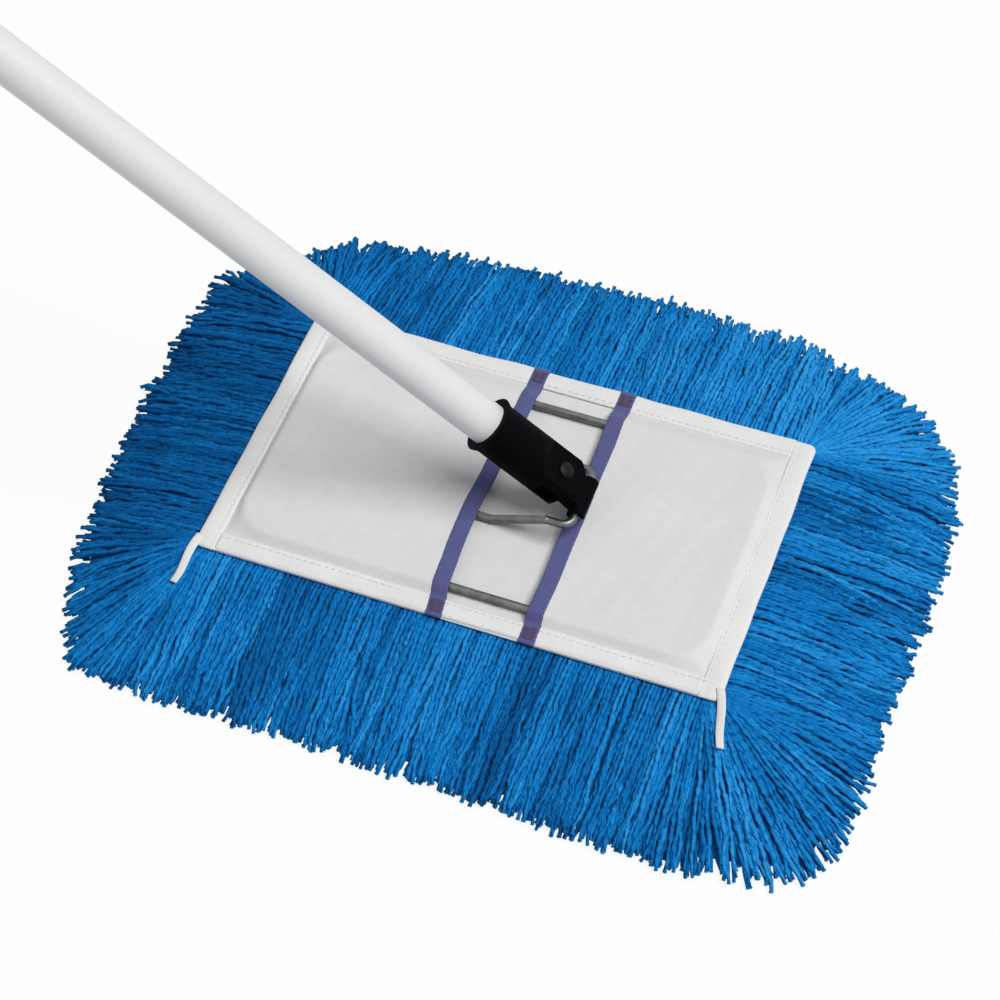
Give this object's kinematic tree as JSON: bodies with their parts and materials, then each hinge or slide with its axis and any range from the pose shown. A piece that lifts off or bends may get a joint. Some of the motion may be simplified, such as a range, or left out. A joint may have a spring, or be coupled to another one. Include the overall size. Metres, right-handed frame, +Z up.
{
  "type": "dust mop",
  "caption": "Dust mop: blue cut-yarn fringe round a white cloth with two pockets over a wire frame, a black swivel clip and a white tube handle with a hanging eye",
  "frame": {"origin": "on the floor under the middle of the backing cloth", "axes": "+X along the mop's long side, away from the handle; +Y across it, to the back; +Z up"},
  "size_m": [1.2547, 0.3685, 1.0185],
  "materials": {
    "yarn": "cut yarn, blue with darker and lighter strands",
    "cloth": "plain woven cotton cloth, off-white",
    "hem": "woven tape, white",
    "binding": "woven tape, violet blue",
    "thread": "close stitches, dark violet",
    "wire": "zinc-plated wire",
    "black_plastic": "moulded black",
    "steel": "blackened rivet steel",
    "dark_steel": "black oxide",
    "white_tube": "white powder coat",
    "plug": "turned softwood",
    "cap_plastic": "moulded black"
  },
  "bodies": {
    "head": {"yarn_sole": "yarn", "fringe_front": "yarn", "fringe_back": "yarn", "fringe_left": "yarn", "fringe_right": "yarn", "backing_cloth": "cloth", "pocket_left": "cloth", "pocket_right": "cloth", "binding_left": "binding", "binding_right": "binding", "hem_front": "hem", "hem_back": "hem", "hem_left": "hem", "hem_right": "hem", "bar_tacks": "thread", "frame_loop": "wire", "frame_yoke": "wire"},
    "clip": {"snap_clip": "black_plastic"},
    "handle": {"swing_pin": "steel", "pin_keeper": "steel", "socket": "black_plastic", "socket_screw": "dark_steel", "handle_tube": "white_tube", "tube_plug": "plug", "hang_cap": "cap_plastic"}
  },
  "joints": [
    {"name": "tilt", "type": "hinge", "parent": "head", "child": "clip", "pos_m": [0.044, 0, 0.038], "axis": [0, 1, 0], "range_deg": [-18, 112]},
    {"name": "swing", "type": "hinge", "parent": "clip", "child": "handle", "pos_m": [0.02791, 0, 0.053], "axis": [0.682, 0, 0.7314], "range_deg": [-64, 55]}
  ]
}
